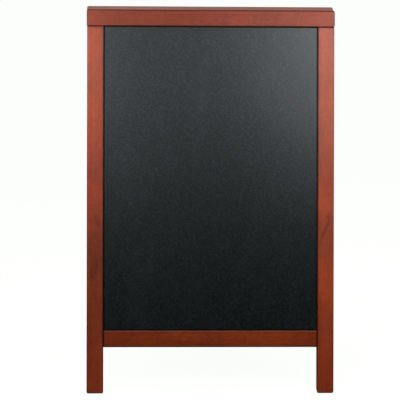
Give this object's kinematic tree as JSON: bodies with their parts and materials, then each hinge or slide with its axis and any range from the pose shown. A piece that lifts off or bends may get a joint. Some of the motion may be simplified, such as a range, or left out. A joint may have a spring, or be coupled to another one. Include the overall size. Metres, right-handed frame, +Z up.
{
  "type": "menu chalkboard easel",
  "caption": "Folding A-frame pavement board: two wooden frames with black writing panels, hinged at the top and held open by side chains.",
  "frame": {"origin": "on the floor, midway between the four feet", "axes": "+Z up; the front board faces -Y; +X to the right of a person reading the front board; the hinge pins run along X"},
  "size_m": [0.55, 0.482, 0.8205],
  "materials": {
    "stained_wood": "mahogany stain under satin lacquer",
    "chalkboard": "thin hardboard with matt black writing paint on both faces",
    "dowel_wood": "plain beech, glued",
    "hinge_steel": "yellow-passivated zinc plate",
    "hinge_pin_steel": "bright steel",
    "screw_steel": "zinc plate",
    "eye_steel": "bright zinc plate",
    "chain_steel": "bright zinc plate"
  },
  "bodies": {
    "front_frame": {"front_top_rail": "stained_wood", "front_bottom_rail": "stained_wood", "front_left_stile": "stained_wood", "front_right_stile": "stained_wood", "front_chalk_panel": "chalkboard", "front_dowels": "dowel_wood", "front_hinge_screws": "screw_steel", "front_chain_eyes": "eye_steel", "left_hinge_front_leaf": "hinge_steel", "right_hinge_front_leaf": "hinge_steel", "left_hinge_pin": "hinge_pin_steel", "right_hinge_pin": "hinge_pin_steel"},
    "rear_frame": {"rear_top_rail": "stained_wood", "rear_bottom_rail": "stained_wood", "rear_left_stile": "stained_wood", "rear_right_stile": "stained_wood", "rear_chalk_panel": "chalkboard", "rear_dowels": "dowel_wood", "rear_hinge_screws": "screw_steel", "rear_chain_eyes": "eye_steel", "left_hinge_rear_leaf": "hinge_steel", "right_hinge_rear_leaf": "hinge_steel"},
    "left_chain_front": {"left_chain_front_half": "chain_steel"},
    "left_chain_rear": {"left_chain_rear_half": "chain_steel"},
    "right_chain_front": {"right_chain_front_half": "chain_steel"},
    "right_chain_rear": {"right_chain_rear_half": "chain_steel"}
  },
  "joints": [
    {"name": "fold", "type": "hinge", "parent": "front_frame", "child": "rear_frame", "pos_m": [0, 0, 0.81109], "axis": [1, 0, 0], "range_deg": [-30, 0]},
    {"name": "left_chain_front_swing", "type": "hinge", "parent": "front_frame", "child": "left_chain_front", "pos_m": [-0.2324, -0.1426, 0.29938], "axis": [1, 0, 0], "range_deg": [-105, 0], "deforming": ["left_chain_front_half"]},
    {"name": "left_chain_rear_swing", "type": "hinge", "parent": "rear_frame", "child": "left_chain_rear", "pos_m": [-0.2324, 0.1426, 0.29938], "axis": [1, 0, 0], "range_deg": [0, 105], "deforming": ["left_chain_rear_half"]},
    {"name": "right_chain_front_swing", "type": "hinge", "parent": "front_frame", "child": "right_chain_front", "pos_m": [0.2324, -0.1426, 0.29938], "axis": [1, 0, 0], "range_deg": [-105, 0], "deforming": ["right_chain_front_half"]},
    {"name": "right_chain_rear_swing", "type": "hinge", "parent": "rear_frame", "child": "right_chain_rear", "pos_m": [0.2324, 0.1426, 0.29938], "axis": [1, 0, 0], "range_deg": [0, 105], "deforming": ["right_chain_rear_half"]}
  ],
  "couplings": [
    {"joint": "left_chain_front_swing", "follows": "fold", "ratio": 3.5},
    {"joint": "left_chain_rear_swing", "follows": "fold", "ratio": -3.5},
    {"joint": "right_chain_front_swing", "follows": "fold", "ratio": 3.5},
    {"joint": "right_chain_rear_swing", "follows": "fold", "ratio": -3.5}
  ]
}
